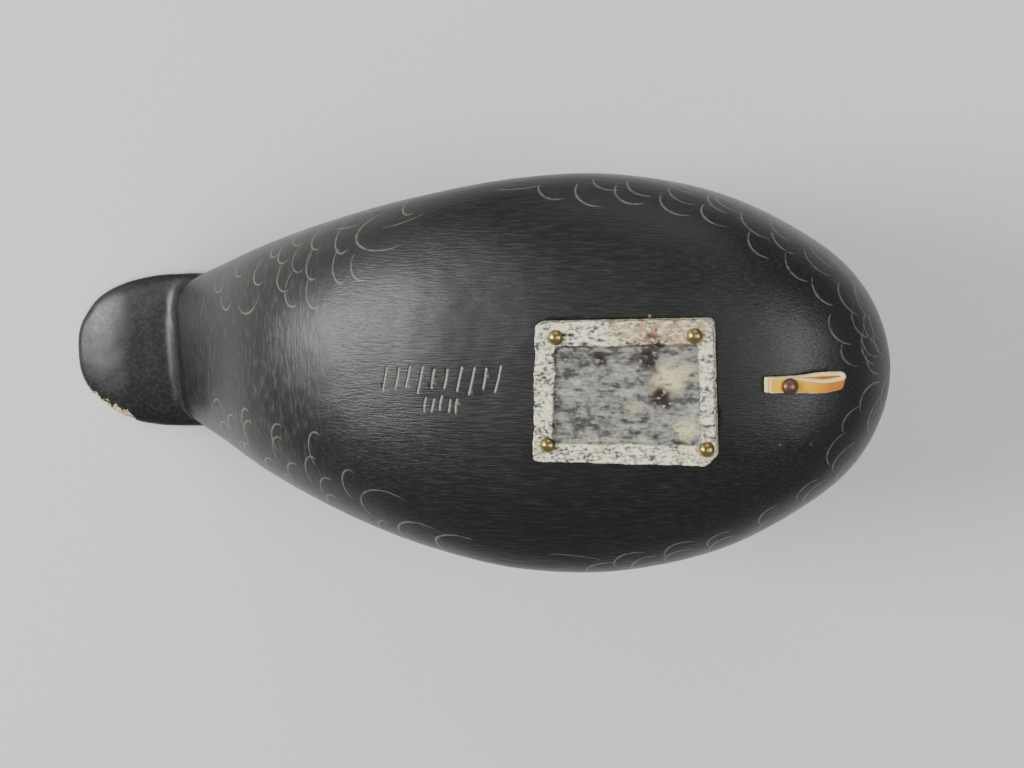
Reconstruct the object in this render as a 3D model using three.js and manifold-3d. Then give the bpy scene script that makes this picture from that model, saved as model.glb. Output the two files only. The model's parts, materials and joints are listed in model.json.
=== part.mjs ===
// Miniature carved duck decoy, lying on its back, on its crown and its tail.
// Millimetres. The duck is described the right way up in its own frame: X runs from
// tail to breast, Y to its left, Z up from the plane of its underside. The last lines
// turn it onto its back, so that the finished part has its underside facing +Z.
import * as THREE from 'three';
import { mergeVertices } from 'three/addons/utils/BufferGeometryUtils.js';
import Module from 'manifold-3d';

const wasm = await Module();
wasm.setup();

// Driving dimensions
const GAP = 0.3; // glue line or clearance between neighbouring pieces
const PITCH = THREE.MathUtils.degToRad(15.6); // breast lifted when the duck lies on its back
const REST_HEIGHT = 54.1; // duck's height where the resting plane crosses x = 0
const SEAT_Z = 40.4; // glued joint between the neck stump and the head

// Body stations: [x, half width, height of the widest line, underside, back]
const BODY = [
  [-62.5, 0.0, 33.2, 33.2, 33.2],
  [-61.2, 8.5, 33.0, 32.2, 34.6],
  [-58.5, 12.0, 32.4, 30.6, 35.4],
  [-53.0, 15.0, 31.2, 25.6, 36.4],
  [-45.8, 17.7, 29.6, 18.6, 37.2],
  [-33.6, 22.0, 25.4, 9.0, 38.2],
  [-17.4, 26.8, 19.0, 3.0, 39.4],
  [-1.0, 30.5, 13.6, 0.5, 40.0],
  [15.0, 32.9, 11.6, 0.0, 40.1],
  [31.0, 33.1, 13.2, 0.0, 39.4],
  [47.6, 29.5, 16.2, 0.6, 36.8],
  [60.8, 22.8, 18.8, 3.8, 32.4],
  [70.0, 14.8, 20.4, 9.8, 27.4],
  [75.1, 0.0, 20.6, 20.6, 20.6],
];
const BODY_LOW_EDGE = 2.5; // section fullness below the widest line
const BODY_HIGH_EDGE = 2.15; // and above it

// Tail paddle stations, same columns. The underside is hollowed in front of the stern
const TAIL = [
  [-81.5, 0.0, 31.4, 31.4, 31.4],
  [-80.8, 4.8, 31.5, 30.9, 32.1],
  [-79.0, 8.0, 31.7, 30.6, 32.7],
  [-75.8, 11.3, 32.1, 30.3, 33.6],
  [-71.0, 13.6, 32.7, 30.6, 34.6],
  [-65.5, 14.8, 33.5, 31.6, 35.5],
  [-60.5, 15.1, 34.1, 32.5, 36.1],
  [-55.0, 15.1, 34.4, 33.0, 36.5],
  [-49.0, 14.4, 34.0, 32.4, 36.8],
  [-42.0, 0.0, 32.0, 32.0, 32.0],
];
const TAIL_EDGE = 2.6;

// The block isn't quite straight: sideways place of the spine, [x, y]
const SWAY = [[-82, -0.3], [-46, -0.7], [-17, 0.0], [5, 0.35], [31, 0.2], [60, 0.0], [76, 0.0]];

// Folded wings: raised above the back. In plan: the tip, the outer edge round the shoulder,
// and the inner edge back along the spine
const WING_RISE = 0.9;
const WING_FLOOR = 25.0; // the wings' outer edges stay above this height
const WING_TIP = [-54, 1.4];
const WING_EDGE = [[-45, 4.8], [-31, 12.6], [-12, 20.6], [4, 24.6], [16, 25.4], [24, 21.8], [26, 14.6]];
const WING_SPLIT = [[21, 7.4], [12, 3.4], [-8, 1.7], [-32, 0.6]];

// Head and bill stations, same columns as the body
const HEAD = [
  [24.8, 0.0, 54.4, 54.4, 54.4],
  [26.4, 5.2, 54.2, 48.6, 59.4],
  [29.8, 8.0, 53.4, 45.2, 62.9],
  [35.0, 9.6, 52.0, 43.4, 64.7],
  [41.0, 9.7, 51.0, 43.4, 64.1],
  [46.6, 8.3, 50.6, 44.6, 61.4],
  [51.2, 6.3, 50.8, 46.2, 57.9],
  [55.2, 0.0, 51.4, 51.4, 51.4],
];
const HEAD_EDGE = 2.2;
const BILL = [
  [45.0, 0.0, 51.0, 51.0, 51.0],
  [47.0, 4.6, 50.8, 46.6, 57.4],
  [52.0, 4.8, 50.4, 46.0, 56.0],
  [57.0, 4.4, 49.6, 46.0, 53.3],
  [62.0, 4.5, 48.8, 46.3, 51.6],
  [67.0, 4.7, 48.2, 46.7, 50.4],
  [69.6, 2.9, 48.0, 47.2, 49.2],
  [70.2, 0.0, 48.0, 48.0, 48.0],
];
const BILL_EDGE = 2.4;

// Neck stations run up the neck: [z, half width, middle x, back x, front x]
const NECK = [
  [28.0, 0.0, 43.0, 43.0, 43.0],
  [29.4, 13.6, 43.0, 24.6, 62.0],
  [36.0, 12.0, 42.4, 25.2, 59.4],
  [40.5, 10.2, 40.8, 26.2, 54.6],
  [45.0, 9.0, 39.4, 27.4, 50.2],
  [52.0, 8.2, 38.0, 28.6, 47.0],
  [58.0, 0.0, 38.0, 38.0, 38.0],
];
const NECK_EDGE = 2.1;

// Ballast plate, cast a little out of square. Its corners in plan are tail right, breast right,
// breast left and tail left
const PLATE_CORNERS = [[21.7, -10.3], [49.4, -10.8], [49.8, 11.8], [20.7, 12.0]];
const PLATE = { corner: 1.1, proud: 2.4 };
const PLATE_SEAT = 1.2; // plane of the shallow mortise that the plate sits in
const RIM = { tail: 3.3, breast: 2.3, right: 3.8, left: 3.2 };
const RECESS = { depth: 0.8, corner: 1.0 };
const PIN = { head: 2.4, dome: 0.85, shank: 1.1, length: 7.0 };
// Pins sit where the maker happened to drive them, [x, y]
const PIN_PLACES = [[25.0, -8.0], [46.7, -8.3], [23.3, 9.1], [48.4, 9.2]];

// Line loop: a strip with both ends under one tack
const TACK = { x: 59.9, y: -0.1, head: 2.6, dome: 0.95, shank: 1.0, length: 6.0 };
const STRIP = { width: 2.35, thick: 0.8, tail: 3.6, upperTail: 3.0, flat: 1.4, reach: 8.6, opening: 0.6 };
const STRIP_TWIST = { angle: THREE.MathUtils.degToRad(38), from: -2.0, to: 6.5 }; // of the eye against the tack
const STRIP_LIFT = 0.55; // rise of the eye's middle, to stand clear of the wood
const STRIP_ASIDE = { tack: -0.2, eye: -0.36 }; // it lies, and bends further, to the duck's right

// Shape helpers
function curveThrough(points) {
  const slopes = points.map((point, i) => {
    const before = points[Math.max(i - 1, 0)];
    const after = points[Math.min(i + 1, points.length - 1)];
    return (after[1] - before[1]) / (after[0] - before[0]);
  });
  return (at) => {
    let i = 0;
    while (i < points.length - 2 && at > points[i + 1][0]) i += 1;
    const span = points[i + 1][0] - points[i][0];
    const t = THREE.MathUtils.clamp((at - points[i][0]) / span, 0, 1);
    const rise = points[i + 1][1] - points[i][1];
    const ease = t * t * (3 - 2 * t);
    const start = t * (1 - t) * (1 - t) * slopes[i] * span;
    const end = t * t * (t - 1) * slopes[i + 1] * span;
    return points[i][1] + rise * ease + start + end;
  };
}

function signedPower(value, power) {
  return Math.sign(value) * Math.abs(value) ** power;
}

// Stations are read by the angle from one pole of a sphere to the other, so that both ends
// of a lump close smoothly
function poleAngle(stations, x) {
  const [first, last] = [stations[0][0], stations.at(-1)[0]];
  return Math.acos(THREE.MathUtils.clamp(1 - (2 * (x - first)) / (last - first), -1, 1));
}

function columnCurve(stations, k) {
  return curveThrough(stations.map((station) => [poleAngle(stations, station[0]), station[k]]));
}

function undersideAt(x) {
  return columnCurve(BODY, 3)(poleAngle(BODY, x));
}

function undersideSlope(x) {
  return Math.atan((undersideAt(x + 1) - undersideAt(x - 1)) / 2);
}

// A lump with rounded ends: a sphere whose rings take their place and size from stations
function lumpGeometry(stations, { low, high, around, along, swell = 0, spine = () => 0 }) {
  const [first, last] = [stations[0][0], stations.at(-1)[0]];
  const column = (k) => columnCurve(stations, k);
  const [halfWidth, widest, bottom, top] = [1, 2, 3, 4].map(column);
  const geometry = new THREE.SphereGeometry(1, around, along);
  const spots = geometry.attributes.position;
  for (let i = 0; i < spots.count; i += 1) {
    const angle = Math.acos(THREE.MathUtils.clamp(-spots.getY(i), -1, 1));
    const turn = Math.atan2(spots.getZ(i), spots.getX(i));
    const atPole = Math.sin(angle) < 1e-4;
    const edge = 2 / (turn > 0 ? high : low);
    const middle = widest(angle);
    const reach = turn > 0 ? top(angle) - middle : middle - bottom(angle);
    const sideways = atPole ? 0 : signedPower(Math.cos(turn), edge) * (halfWidth(angle) + swell);
    const upward = atPole ? 0 : signedPower(Math.sin(turn), edge) * (reach + swell);
    const x = first + ((last - first) * (1 - Math.cos(angle))) / 2 - swell * Math.cos(angle);
    spots.setXYZ(i, x, spine(x) - sideways, middle + upward);
  }
  return geometry;
}

function solid(geometry) {
  const bare = geometry.clone();
  bare.deleteAttribute('normal');
  bare.deleteAttribute('uv');
  const merged = mergeVertices(bare, 1e-4);
  const numProp = 3;
  const vertProperties = new Float32Array(merged.attributes.position.array);
  const triVerts = new Uint32Array(merged.index.array);
  return new wasm.Manifold(new wasm.Mesh({ numProp, vertProperties, triVerts }));
}

function geometryOf(manifold) {
  const mesh = manifold.getMesh();
  const geometry = new THREE.BufferGeometry();
  geometry.setAttribute('position', new THREE.BufferAttribute(mesh.vertProperties, mesh.numProp));
  geometry.setIndex(new THREE.BufferAttribute(mesh.triVerts, 1));
  geometry.computeVertexNormals();
  return geometry;
}

function block(low, high) {
  const size = high.map((value, i) => value - low[i]);
  const middle = high.map((value, i) => (value + low[i]) / 2);
  return solid(new THREE.BoxGeometry(...size).translate(...middle));
}

// The plate's outline drawn in from its four sides, with its corners rounded off
function plateOutline({ tail, breast, right, left }, round) {
  const [first, second, third, fourth] = PLATE_CORNERS;
  const corners = [
    new THREE.Vector2(first[0] + tail, first[1] + right),
    new THREE.Vector2(second[0] - breast, second[1] + right),
    new THREE.Vector2(third[0] - breast, third[1] - left),
    new THREE.Vector2(fourth[0] + tail, fourth[1] - left),
  ];
  const outline = new THREE.Shape();
  corners.forEach((corner, i) => {
    const towards = (other) => other.clone().sub(corner).setLength(round).add(corner);
    const [entry, exit] = [towards(corners[(i + 3) % 4]), towards(corners[(i + 1) % 4])];
    if (i === 0) outline.moveTo(entry.x, entry.y);
    else outline.lineTo(entry.x, entry.y);
    outline.quadraticCurveTo(corner.x, corner.y, exit.x, exit.y);
  });
  outline.closePath();
  return outline;
}

function slab(outline, low, high, curveSegments = 4) {
  const options = { depth: high - low, bevelEnabled: false, curveSegments };
  return new THREE.ExtrudeGeometry(outline, options).translate(0, 0, low);
}

// A round rod along Z, used as a hole when it is subtracted
function rod(radius, low, high, x, y) {
  const geometry = new THREE.CylinderGeometry(radius, radius, high - low, 14);
  return solid(geometry.rotateX(Math.PI / 2).translate(x, y, (low + high) / 2));
}

// A domed nail that points up into the wood: its head's rim lies in the plane z = 0
function nailGeometry({ head, dome, shank, length }) {
  const domeSteps = 4;
  const profile = [new THREE.Vector2(0, length), new THREE.Vector2(shank / 2, length - shank)];
  profile.push(new THREE.Vector2(shank / 2, 0));
  for (let i = 0; i <= domeSteps; i += 1) {
    const angle = (i / domeSteps) * (Math.PI / 2);
    profile.push(new THREE.Vector2((head / 2) * Math.cos(angle), -dome * Math.sin(angle)));
  }
  profile.at(-1).x = 0;
  return new THREE.LatheGeometry(profile.reverse(), 14);
}

// The nail's profile is turned about Y; this stands it along Z
function nail(size, x, y, z) {
  return nailGeometry(size).rotateX(Math.PI / 2).translate(x, y, z);
}

// Carved blocks
const spine = curveThrough(SWAY);

function wingOutline(side) {
  const outline = new THREE.Shape();
  const onSide = (points) => points.map(([x, y]) => new THREE.Vector2(x, side * y));
  outline.moveTo(...onSide([WING_TIP])[0]);
  outline.splineThru(onSide([...WING_EDGE, ...WING_SPLIT]));
  outline.closePath();
  return outline;
}

function wings(around, along) {
  const fullness = { low: BODY_LOW_EDGE, high: BODY_HIGH_EDGE, around, along, swell: WING_RISE, spine };
  const swollen = solid(lumpGeometry(BODY, fullness));
  const plan = [1, -1].map((side) => solid(slab(wingOutline(side), WING_FLOOR, SEAT_Z + 5, 3)));
  return swollen.intersect(plan[0].add(plan[1]));
}

function neck() {
  const upright = new THREE.Matrix4().makeBasis(
    new THREE.Vector3(0, 0, 1),
    new THREE.Vector3(0, -1, 0),
    new THREE.Vector3(1, 0, 0),
  );
  const fullness = { low: NECK_EDGE, high: NECK_EDGE, around: 24, along: 12 };
  return solid(lumpGeometry(NECK, fullness).applyMatrix4(upright));
}

// The wood beyond the plane that the duck lies on, flattened on crown and tail
function beyondRest() {
  const size = 300;
  const geometry = new THREE.BoxGeometry(size, size, size).translate(0, 0, size / 2);
  return solid(geometry.rotateY(-PITCH).translate(0, 0, REST_HEIGHT));
}

function underPlate() {
  const mortise = plateOutline({ tail: -GAP, breast: -GAP, right: -GAP, left: -GAP }, PLATE.corner + GAP);
  return solid(slab(mortise, -5, PLATE_SEAT));
}

function body() {
  const fullness = { low: BODY_LOW_EDGE, high: BODY_HIGH_EDGE, around: 40, along: 42, spine };
  const tailFullness = { low: TAIL_EDGE, high: TAIL_EDGE, around: 24, along: 26, spine };
  const stump = neck().intersect(block([0, -40, 20], [80, 40, SEAT_Z]));
  let carved = solid(lumpGeometry(BODY, fullness)).add(solid(lumpGeometry(TAIL, tailFullness)));
  carved = carved.add(wings(40, 42)).add(stump).subtract(beyondRest()).subtract(underPlate());
  PIN_PLACES.forEach(([x, y]) => {
    carved = carved.subtract(rod(PIN.shank / 2 + GAP, -5, PIN.length, x, y));
  });
  const tackHole = rod(TACK.shank / 2 + GAP, -5, TACK.length, 0, 0)
    .rotate([0, THREE.MathUtils.radToDeg(-undersideSlope(TACK.x)), 0])
    .translate([TACK.x, TACK.y, undersideAt(TACK.x)]);
  return geometryOf(carved.subtract(tackHole));
}

function head() {
  const headFullness = { low: HEAD_EDGE, high: HEAD_EDGE, around: 28, along: 20 };
  const billFullness = { low: BILL_EDGE, high: BILL_EDGE, around: 18, along: 18 };
  const carved = solid(lumpGeometry(HEAD, headFullness))
    .add(solid(lumpGeometry(BILL, billFullness)))
    .add(neck());
  return geometryOf(carved.subtract(block([0, -40, 0], [90, 40, SEAT_Z + GAP])).subtract(beyondRest()));
}

// Fittings
function ballastPlate() {
  const outline = plateOutline({ tail: 0, breast: 0, right: 0, left: 0 }, PLATE.corner);
  const floor = plateOutline(RIM, RECESS.corner);
  let plate = solid(slab(outline, -PLATE.proud, PLATE_SEAT - GAP));
  plate = plate.subtract(solid(slab(floor, -PLATE.proud - 1, -PLATE.proud + RECESS.depth)));
  PIN_PLACES.forEach(([x, y]) => {
    plate = plate.subtract(rod(PIN.shank / 2 + GAP, -5, 5, x, y));
  });
  return geometryOf(plate);
}

// The strip seen from its edge, before it is twisted: x along the loop, y through its layers.
// Both ends are pressed into one under the tack, and the eye is the hole.
function stripOutline() {
  const { thick, tail, upperTail, flat, reach, opening } = STRIP;
  const round = thick + opening / 2;
  const centre = reach - round;
  const outline = new THREE.Shape();
  outline.moveTo(-tail, -thick);
  outline.lineTo(flat, -thick);
  outline.quadraticCurveTo(flat + 1.6, -round, centre, -round);
  outline.absarc(centre, 0, round, -Math.PI / 2, Math.PI / 2);
  outline.quadraticCurveTo(flat + 1.6, round, flat, thick);
  outline.lineTo(-upperTail, thick);
  outline.lineTo(-upperTail, 0);
  outline.lineTo(-tail, 0);
  outline.closePath();
  const eye = new THREE.Path();
  eye.moveTo(flat + 0.6, 0);
  eye.quadraticCurveTo(flat + 2, opening / 2, centre, opening / 2);
  eye.absarc(centre, 0, opening / 2, Math.PI / 2, -Math.PI / 2, true);
  eye.quadraticCurveTo(flat + 2, -opening / 2, flat + 0.6, 0);
  outline.holes.push(eye);
  return outline;
}

// Stands the eye of the strip on its edge, while the tacked end stays flat on the wood
function twisted(geometry) {
  const spots = geometry.attributes.position;
  for (let i = 0; i < spots.count; i += 1) {
    const [x, layer, across] = [spots.getX(i), spots.getY(i), spots.getZ(i)];
    const share = THREE.MathUtils.smoothstep(x, STRIP_TWIST.from, STRIP_TWIST.to);
    const turn = share * STRIP_TWIST.angle;
    const height = GAP + STRIP.thick + share * STRIP_LIFT;
    const aside = STRIP_ASIDE.tack + STRIP_ASIDE.eye * (x / STRIP.reach) ** 2;
    const y = aside + layer * Math.sin(turn) + across * Math.cos(turn);
    const z = -height - layer * Math.cos(turn) + across * Math.sin(turn);
    spots.setXYZ(i, x, y, z);
  }
  return geometry;
}

function lineLoop() {
  const flat = slab(stripOutline(), -STRIP.width / 2, STRIP.width / 2, 6);
  const hole = rod(TACK.shank / 2 + GAP, -5, 5, 0, 0);
  return geometryOf(solid(twisted(flat)).subtract(hole));
}

// Assembly
const blackPaint = { color: 0x1d1c1b, roughness: 0.42, metalness: 0 };
const headPaint = { color: 0x2b2723, roughness: 0.5, metalness: 0 };
const lead = { color: 0xa19e9b, roughness: 0.72, metalness: 0.35 };
const brass = { color: 0x9a7d3a, roughness: 0.3, metalness: 1 };
const hide = { color: 0xd8b06a, roughness: 0.65, metalness: 0 };
const bronze = { color: 0x4a372c, roughness: 0.35, metalness: 0.9 };

function piece(name, geometry, finish) {
  const mesh = new THREE.Mesh(geometry, new THREE.MeshStandardMaterial(finish));
  mesh.name = name;
  return mesh;
}

const duck = new THREE.Group();
duck.add(piece('body', body(), blackPaint));
duck.add(piece('head', head(), headPaint));
duck.add(piece('ballast_plate', ballastPlate(), lead));
PIN_PLACES.forEach(([x, y], i) => {
  duck.add(piece(`plate_pin_${i + 1}`, nail(PIN, x, y, -PLATE.proud - GAP), brass));
});

// The loop and its tack lie along the slope of the breast
const fastening = new THREE.Group();
fastening.position.set(TACK.x, TACK.y, undersideAt(TACK.x));
fastening.rotation.y = -undersideSlope(TACK.x);
fastening.add(piece('line_loop', lineLoop(), hide));
fastening.add(piece('loop_tack', nail(TACK, 0, 0, -2 * STRIP.thick - 2 * GAP), bronze));
duck.add(fastening);

// Turned onto its back, pitched until crown and tail both touch, and centred on its box
duck.rotation.x = Math.PI;
const pitched = new THREE.Group();
pitched.add(duck);
pitched.rotation.y = -PITCH;
pitched.position.z = REST_HEIGHT * Math.cos(PITCH);
const part = new THREE.Group();
part.add(pitched);
const extent = new THREE.Box3().setFromObject(part, true);
pitched.position.x = -(extent.min.x + extent.max.x) / 2;
part.updateMatrixWorld(true);

export default part;
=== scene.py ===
# A miniature duck decoy lying on its back: painted wood, a cast lead weight, and a hide loop.
# Shapes are worked out the right way up in the duck's own millimetres: x from tail to breast,
# y to its left, z up from the plane of its underside. toPart then lays them on their back, in metres.
import json
import math
import random
from functools import partial

import bmesh
import bpy
import numpy as np
from mathutils import Matrix, Vector, noise
from mathutils.bvhtree import BVHTree


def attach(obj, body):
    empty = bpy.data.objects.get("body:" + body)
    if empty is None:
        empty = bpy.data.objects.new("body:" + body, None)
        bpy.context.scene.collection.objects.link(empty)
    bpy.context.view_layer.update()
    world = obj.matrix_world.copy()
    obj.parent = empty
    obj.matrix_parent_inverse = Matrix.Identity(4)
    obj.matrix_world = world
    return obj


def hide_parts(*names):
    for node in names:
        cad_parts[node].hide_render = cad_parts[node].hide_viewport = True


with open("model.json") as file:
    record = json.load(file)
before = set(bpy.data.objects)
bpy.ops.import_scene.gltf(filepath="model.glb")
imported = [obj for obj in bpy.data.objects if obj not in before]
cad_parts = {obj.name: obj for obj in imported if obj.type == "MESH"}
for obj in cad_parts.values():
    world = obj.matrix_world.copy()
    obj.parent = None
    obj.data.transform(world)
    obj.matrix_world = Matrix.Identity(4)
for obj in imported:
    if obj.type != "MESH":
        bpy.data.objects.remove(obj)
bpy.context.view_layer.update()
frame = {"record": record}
print("packed duck loaded")

stance = {
    "pitch": 15.6,  # degrees that the breast is lifted when crown and tail touch the ground
    "restHeight": 54.1,  # resting plane over x = 0, in the duck's own height
    "glueLine": 0.3,
}

plate = {
    # tail right, breast right, breast left, tail left
    "corners": [(21.7, -10.3), (49.4, -10.8), (49.8, 11.8), (20.7, 12.0)],
    "middle": (35.6, 0.6),
    "round": 1.0, "clip": 1.5,  # corner radius, and what is cut off the breast left corner
    "innerRound": 0.7,  # corner radius of the recess
    "proud": 2.4,  # stands this far out of the underside
    "seat": 1.2, "seatInset": 0.35,  # plane of the shallow mortise, and how far in from the outline it starts
    "recess": 0.8, "slope": 0.35, "rims": {"tail": 3.2, "breast": 2.2, "right": 3.7, "left": 3.1},
    "grain": 0.24,  # spacing of the cast mesh
}

carving = {
    # x, half width, height of the widest line, underside, back
    "body": [
        [-62.0, 0.0, 33.8, 33.8, 33.8], [-60.9, 8.5, 33.6, 33.0, 34.8], [-58.5, 12.0, 32.4, 30.7, 35.4],
        [-53.0, 15.0, 31.2, 25.6, 36.4], [-45.8, 17.7, 29.6, 18.6, 37.2], [-33.6, 22.0, 25.4, 9.0, 38.2],
        [-17.4, 26.8, 19.0, 3.0, 39.4], [-1.0, 30.5, 13.6, 0.5, 40.0], [15.0, 32.9, 11.6, 0.0, 40.1],
        [31.0, 33.1, 13.2, 0.0, 39.4], [47.6, 29.5, 16.2, 0.6, 36.8], [60.8, 22.8, 18.8, 3.8, 32.4],
        [70.0, 14.8, 20.4, 9.8, 27.4], [75.1, 0.0, 20.6, 20.6, 20.6],
    ],
    "tail": [
        [-81.5, 0.0, 31.4, 31.4, 31.4], [-80.8, 4.8, 31.5, 30.9, 32.1], [-79.0, 8.0, 31.7, 30.6, 32.7],
        [-75.8, 11.3, 32.1, 30.3, 33.6], [-71.0, 13.6, 32.7, 30.6, 34.6], [-65.5, 14.8, 33.5, 31.6, 35.5],
        [-60.5, 15.1, 34.1, 32.5, 36.1], [-55.0, 15.1, 34.4, 33.0, 36.5], [-49.0, 14.4, 34.0, 32.4, 36.8],
        [-42.0, 0.0, 32.0, 32.0, 32.0],
    ],
    # height, half width, middle x, back x, front x
    "neck": [
        [28.0, 0.0, 43.0, 43.0, 43.0], [29.4, 13.6, 43.0, 24.6, 62.0], [36.0, 12.0, 42.4, 25.2, 59.4],
        [40.5, 10.2, 40.8, 26.2, 54.6], [45.0, 9.0, 39.4, 27.4, 50.2], [52.0, 8.2, 38.0, 28.6, 47.0],
        [58.0, 0.0, 38.0, 38.0, 38.0],
    ],
    "lowEdge": 2.5, "highEdge": 2.15, "tailEdge": 2.6, "neckEdge": 2.1,  # how full the sections are
    # the block isn't quite straight: x, and the spine's sideways place
    "sway": [[-82, -0.3], [-46, -0.7], [-17, 0.0], [5, 0.35], [31, 0.2], [60, 0.0], [76, 0.0]],
    "neckSeat": 40.4,  # glued joint under the head
    "grain": 0.57,  # spacing of the carved mesh
    "fillet": 6.5, "filletPasses": 45,  # how far tail and neck flow into the body
    "seam": (0.2, 0.5),  # shares of the fillet between which points settle on the blocks' own surfaces
    "sternFrom": -48, "sternShare": 0.22,  # the tail's corner is tighter
    "toolMarks": 0.06, "toolSpacing": 7.0,  # depth and spacing of the knife's soft flats
}

wings = {
    # how far the wings stand up, the heights between which they begin, and their soft edge
    "rise": 0.9, "floor": (25.0, 27.0), "edge": (-0.3, 1.1),
    "outline": [
        [-54, 1.4], [-45, 4.8], [-31, 12.6], [-12, 20.6], [4, 24.6], [16, 25.4], [24, 21.8], [26, 14.6],
        [21, 7.4], [12, 3.4], [-8, 1.7], [-32, 0.6],
    ],
    "grooves": [[-44, 4.0, -6, 17.0], [-38, 3.2, 2, 13.0], [-30, 2.4, 6, 8.0]],  # x, y to x, y
    "grooveDepth": 0.35, "grooveWidth": 0.9, "grooveBow": 1.6,
}


def colour(code):  # sRGB hex to the linear colour that shaders use
    parts = [int(code[i:i + 2], 16) / 255 for i in (1, 3, 5)]
    return [c / 12.92 if c <= 0.04045 else ((c + 0.055) / 1.055) ** 2.4 for c in parts] + [1]


def addNode(tree, kind, inputs=(), out=0, **settings):  # inputs in order or by name; a hex string is a colour
    node = tree.nodes.new("ShaderNode" + kind)
    for name, value in settings.items():
        setattr(node, name, value)
    for socket, value in inputs.items() if isinstance(inputs, dict) else enumerate(inputs):
        if isinstance(value, bpy.types.NodeSocket):
            tree.links.new(value, node.inputs[socket])
        else:
            node.inputs[socket].default_value = colour(value) if isinstance(value, str) else value
    return node if out is None else node.outputs[out]


def smoothstep(low, high, value):
    t = np.clip((value - low) / (high - low), 0, 1)
    return t * t * (3 - 2 * t)


# Turned onto its back and pitched; the place comes from the middle of the plate's recess
def layOnBack():
    turn = Matrix.Rotation(-math.radians(stance["pitch"]), 4, "Y") @ Matrix.Rotation(math.pi, 4, "X")
    turn = turn @ Matrix.Scale(0.001, 4)
    recess = next(m for m in frame["record"]["mounts"] if m["name"] == "weight_recess")
    floor = Vector((*plate["middle"], plate["recess"] - plate["proud"]))
    return Matrix.Translation(Vector(recess["pos_m"]) - turn @ floor) @ turn


toPart = layOnBack()


# Mesh helpers
def valuesOf(items, what, kind=np.float32, width=3):
    flat = np.empty(len(items) * width, kind)
    items.foreach_get(what, flat)
    return flat.reshape(-1, width) if width > 1 else flat


def pointsOf(mesh, what="co"):
    return valuesOf(mesh.vertices, what).astype(float)


def movePoints(mesh, points):
    mesh.vertices.foreach_set("co", points.astype(np.float32).ravel())
    mesh.update()


def bumps(points, spacing, seed):  # smooth noise from -1 to 1, its bumps this many millimetres apart
    shift = Vector((seed * 7.3, seed * 3.1, seed * 5.7))
    return np.array([noise.noise(Vector(p) / spacing + shift) for p in points])


def meshOf(bm):
    mesh = bpy.data.meshes.new("shape")
    bm.to_mesh(mesh)
    bm.free()
    return mesh


def linked(name, data):
    thing = bpy.data.objects.new(name, data)
    bpy.context.scene.collection.objects.link(thing)
    return thing


def skinned(bm, spacing):  # one closed skin round overlapping lumps
    mesh = meshOf(bm)
    carrier = linked("carrier", mesh)
    skin = carrier.modifiers.new("skin", "REMESH")
    skin.mode = "VOXEL"
    skin.voxel_size = spacing
    seen = carrier.evaluated_get(bpy.context.evaluated_depsgraph_get())
    result = bpy.data.meshes.new_from_object(seen)
    bpy.data.objects.remove(carrier)
    bpy.data.meshes.remove(mesh)
    return result


def setAttribute(mesh, name, values):
    data = mesh.attributes.new(name, "FLOAT", "POINT").data
    data.foreach_set("value", np.asarray(values, np.float32))


def placePiece(name, mesh, material, nodes):
    mesh.transform(toPart)
    mesh.shade_smooth()
    mesh.materials.clear()
    mesh.materials.append(material)
    piece = linked(name, mesh)
    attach(piece, "root")
    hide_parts(*nodes)
    return piece


# Lumps: spheres whose rings take their place and size from stations
def curveThrough(xs, ys):
    xs, ys = np.array(xs, float), np.array(ys, float)
    before, after = np.maximum(np.arange(len(xs)) - 1, 0), np.minimum(np.arange(len(xs)) + 1, len(xs) - 1)
    slopes = (ys[after] - ys[before]) / (xs[after] - xs[before])

    def at(x):
        i = np.clip(np.searchsorted(xs, x, side="right") - 1, 0, len(xs) - 2)
        span = xs[i + 1] - xs[i]
        t = np.clip((x - xs[i]) / span, 0, 1)
        bend = t * (1 - t) ** 2 * slopes[i] + t * t * (t - 1) * slopes[i + 1]
        return ys[i] + (ys[i + 1] - ys[i]) * t * t * (3 - 2 * t) + bend * span

    return at


spine = curveThrough(*zip(*carving["sway"]))


def stationAngle(stations, x):  # 0 at the first station, half a turn at the last
    first, last = stations[0][0], stations[-1][0]
    return np.arccos(np.clip(1 - 2 * (x - first) / (last - first), -1, 1))


def stationCurve(stations, column):
    return curveThrough([stationAngle(stations, s[0]) for s in stations], [s[column] for s in stations])


def lump(stations, low, high, around, along, upright=False):
    first, last = stations[0][0], stations[-1][0]
    halfWidth, widest, bottom, top = [stationCurve(stations, k) for k in (1, 2, 3, 4)]
    bm = bmesh.new()
    verts = bmesh.ops.create_uvsphere(bm, u_segments=around, v_segments=along, radius=1)["verts"]
    ball = np.array([v.co for v in verts])
    angle = np.arccos(np.clip(-ball[:, 2], -1, 1))
    turn = np.arctan2(ball[:, 1], ball[:, 0])
    power = 2 / np.where(turn > 0, high, low)
    size = np.sin(angle) > 1e-4
    middle = widest(angle)
    reach = np.where(turn > 0, top(angle) - middle, middle - bottom(angle))
    side = size * np.sign(np.cos(turn)) * np.abs(np.cos(turn)) ** power * halfWidth(angle)
    rise = size * np.sign(np.sin(turn)) * np.abs(np.sin(turn)) ** power * reach + middle
    far = first + (last - first) * (1 - np.cos(angle)) / 2
    for v, x, y, z in zip(verts, far, side, rise):
        v.co = (z, y, x) if upright else (x, y + spine(x), z)
    bmesh.ops.recalc_face_normals(bm, faces=bm.faces)
    return bm


def neckLump():
    return lump(carving["neck"], carving["neckEdge"], carving["neckEdge"], 96, 64, upright=True)


def joined(shapes):
    bm = bmesh.new()
    for shape in shapes:
        mesh = meshOf(shape)
        bm.from_mesh(mesh)
        bpy.data.meshes.remove(mesh)
    return bm


def nearest(tree, points):
    found = [tree.find_nearest(Vector(p)) for p in points]
    return np.array([f[0] for f in found]), np.array([f[3] for f in found])


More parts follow.
